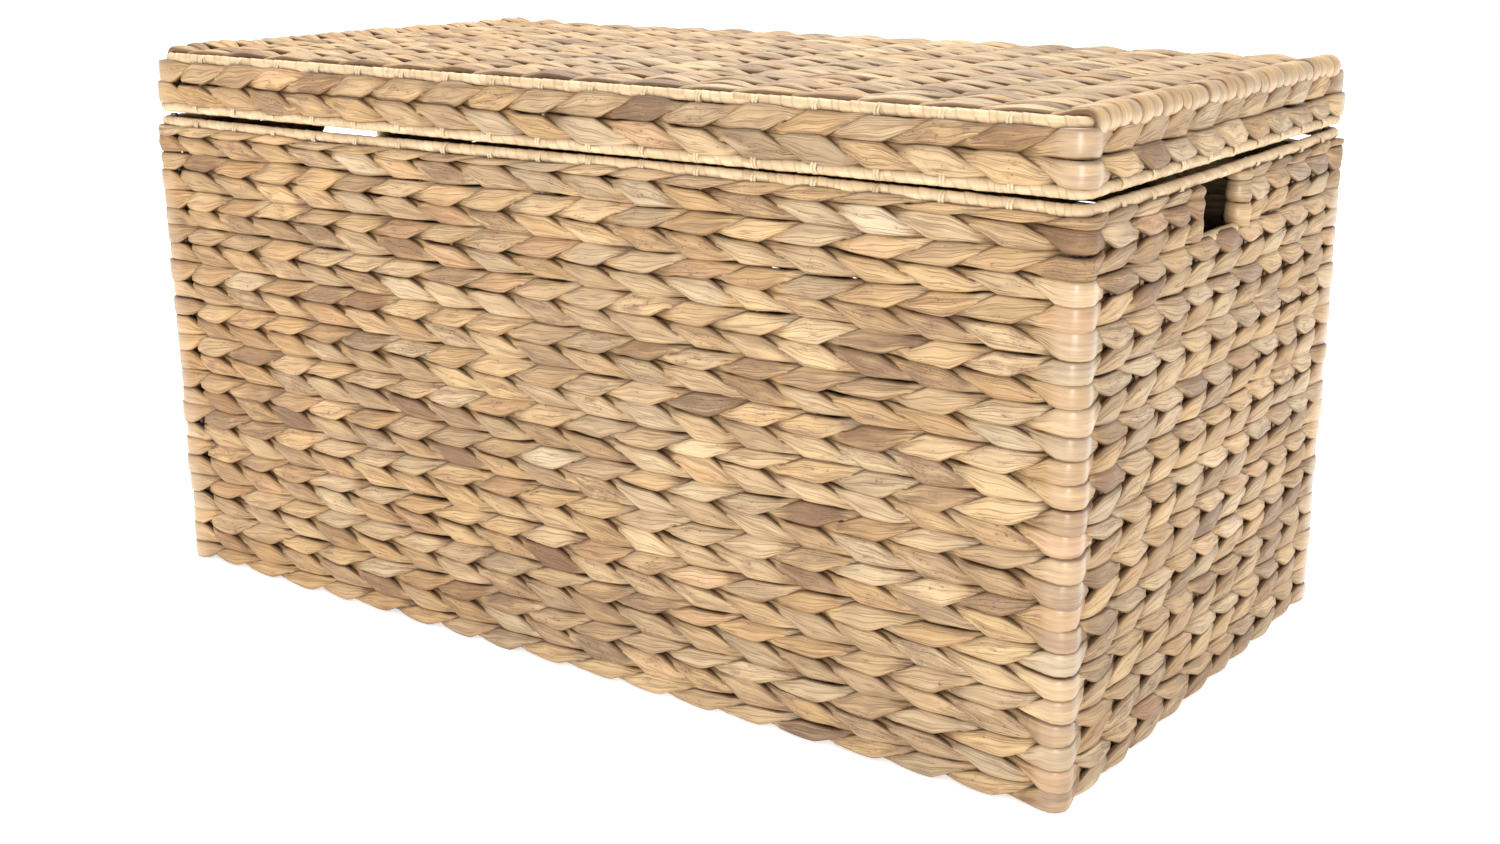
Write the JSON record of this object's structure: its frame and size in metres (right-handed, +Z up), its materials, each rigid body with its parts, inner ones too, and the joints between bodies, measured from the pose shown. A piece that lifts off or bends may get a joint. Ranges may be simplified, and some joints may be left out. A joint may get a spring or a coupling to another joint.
{
  "type": "wicker storage trunk",
  "caption": "Rectangular storage trunk of twined dried leaf on a wire frame, with hand holes in its ends and a shallow woven lid that swings open on cord loops.",
  "frame": {"origin": "middle of the underside, on the floor", "axes": "+X along the long front towards the right end, +Y from the front to the hinged back, +Z up"},
  "size_m": [0.756, 0.416, 0.395],
  "materials": {
    "woven_leaf": "dried leaf, satin to matte, with fine lengthwise fibres",
    "rail_wrap": "pale dry leaf strip, matte",
    "stake_cord": "twisted paper-like cord, matte",
    "loop_cord": "twisted cord, matte",
    "frame_wire": "drawn steel wire with a thin dull coating"
  },
  "bodies": {
    "trunk": {"base_rail": "frame_wire", "rim_rail": "frame_wire", "corner_post_front_left": "frame_wire", "corner_post_front_right": "frame_wire", "corner_post_back_left": "frame_wire", "corner_post_back_right": "frame_wire", "base_cross_rods": "frame_wire", "left_hole_posts": "frame_wire", "right_hole_posts": "frame_wire", "left_grip_bar": "frame_wire", "right_grip_bar": "frame_wire", "left_grip_wrap": "rail_wrap", "right_grip_wrap": "rail_wrap", "rim_wrap_front": "rail_wrap", "rim_wrap_back": "rail_wrap", "rim_wrap_left": "rail_wrap", "rim_wrap_right": "rail_wrap", "front_stakes": "stake_cord", "back_stakes": "stake_cord", "left_stakes": "stake_cord", "right_stakes": "stake_cord", "base_stakes": "stake_cord", "front_weave": "woven_leaf", "back_weave": "woven_leaf", "base_weave": "woven_leaf", "left_weave": "woven_leaf", "left_weave_front": "woven_leaf", "left_weave_back": "woven_leaf", "right_weave": "woven_leaf", "right_weave_front": "woven_leaf", "right_weave_back": "woven_leaf"},
    "lid": {"lid_lower_rail": "frame_wire", "lid_top_rail": "frame_wire", "lid_post_front_left": "frame_wire", "lid_post_front_right": "frame_wire", "lid_post_back_left": "frame_wire", "lid_post_back_right": "frame_wire", "lid_cross_rods": "frame_wire", "lid_lower_wrap_front": "rail_wrap", "lid_lower_wrap_back": "rail_wrap", "lid_lower_wrap_left": "rail_wrap", "lid_lower_wrap_right": "rail_wrap", "lid_top_wrap_front": "rail_wrap", "lid_top_wrap_back": "rail_wrap", "lid_top_wrap_left": "rail_wrap", "lid_top_wrap_right": "rail_wrap", "lid_skirt_stakes": "stake_cord", "lid_top_stakes": "stake_cord", "lid_front_weave": "woven_leaf", "lid_back_weave": "woven_leaf", "lid_left_weave": "woven_leaf", "lid_right_weave": "woven_leaf", "lid_top_weave": "woven_leaf", "hinge_loop_1": "loop_cord", "hinge_loop_2": "loop_cord", "hinge_loop_3": "loop_cord", "hinge_loop_4": "loop_cord"}
  },
  "joints": [
    {"name": "lid_hinge", "type": "hinge", "parent": "trunk", "child": "lid", "pos_m": [0, 0.2, 0.344], "axis": [-1, 0, 0], "range_deg": [0, 95]}
  ]
}
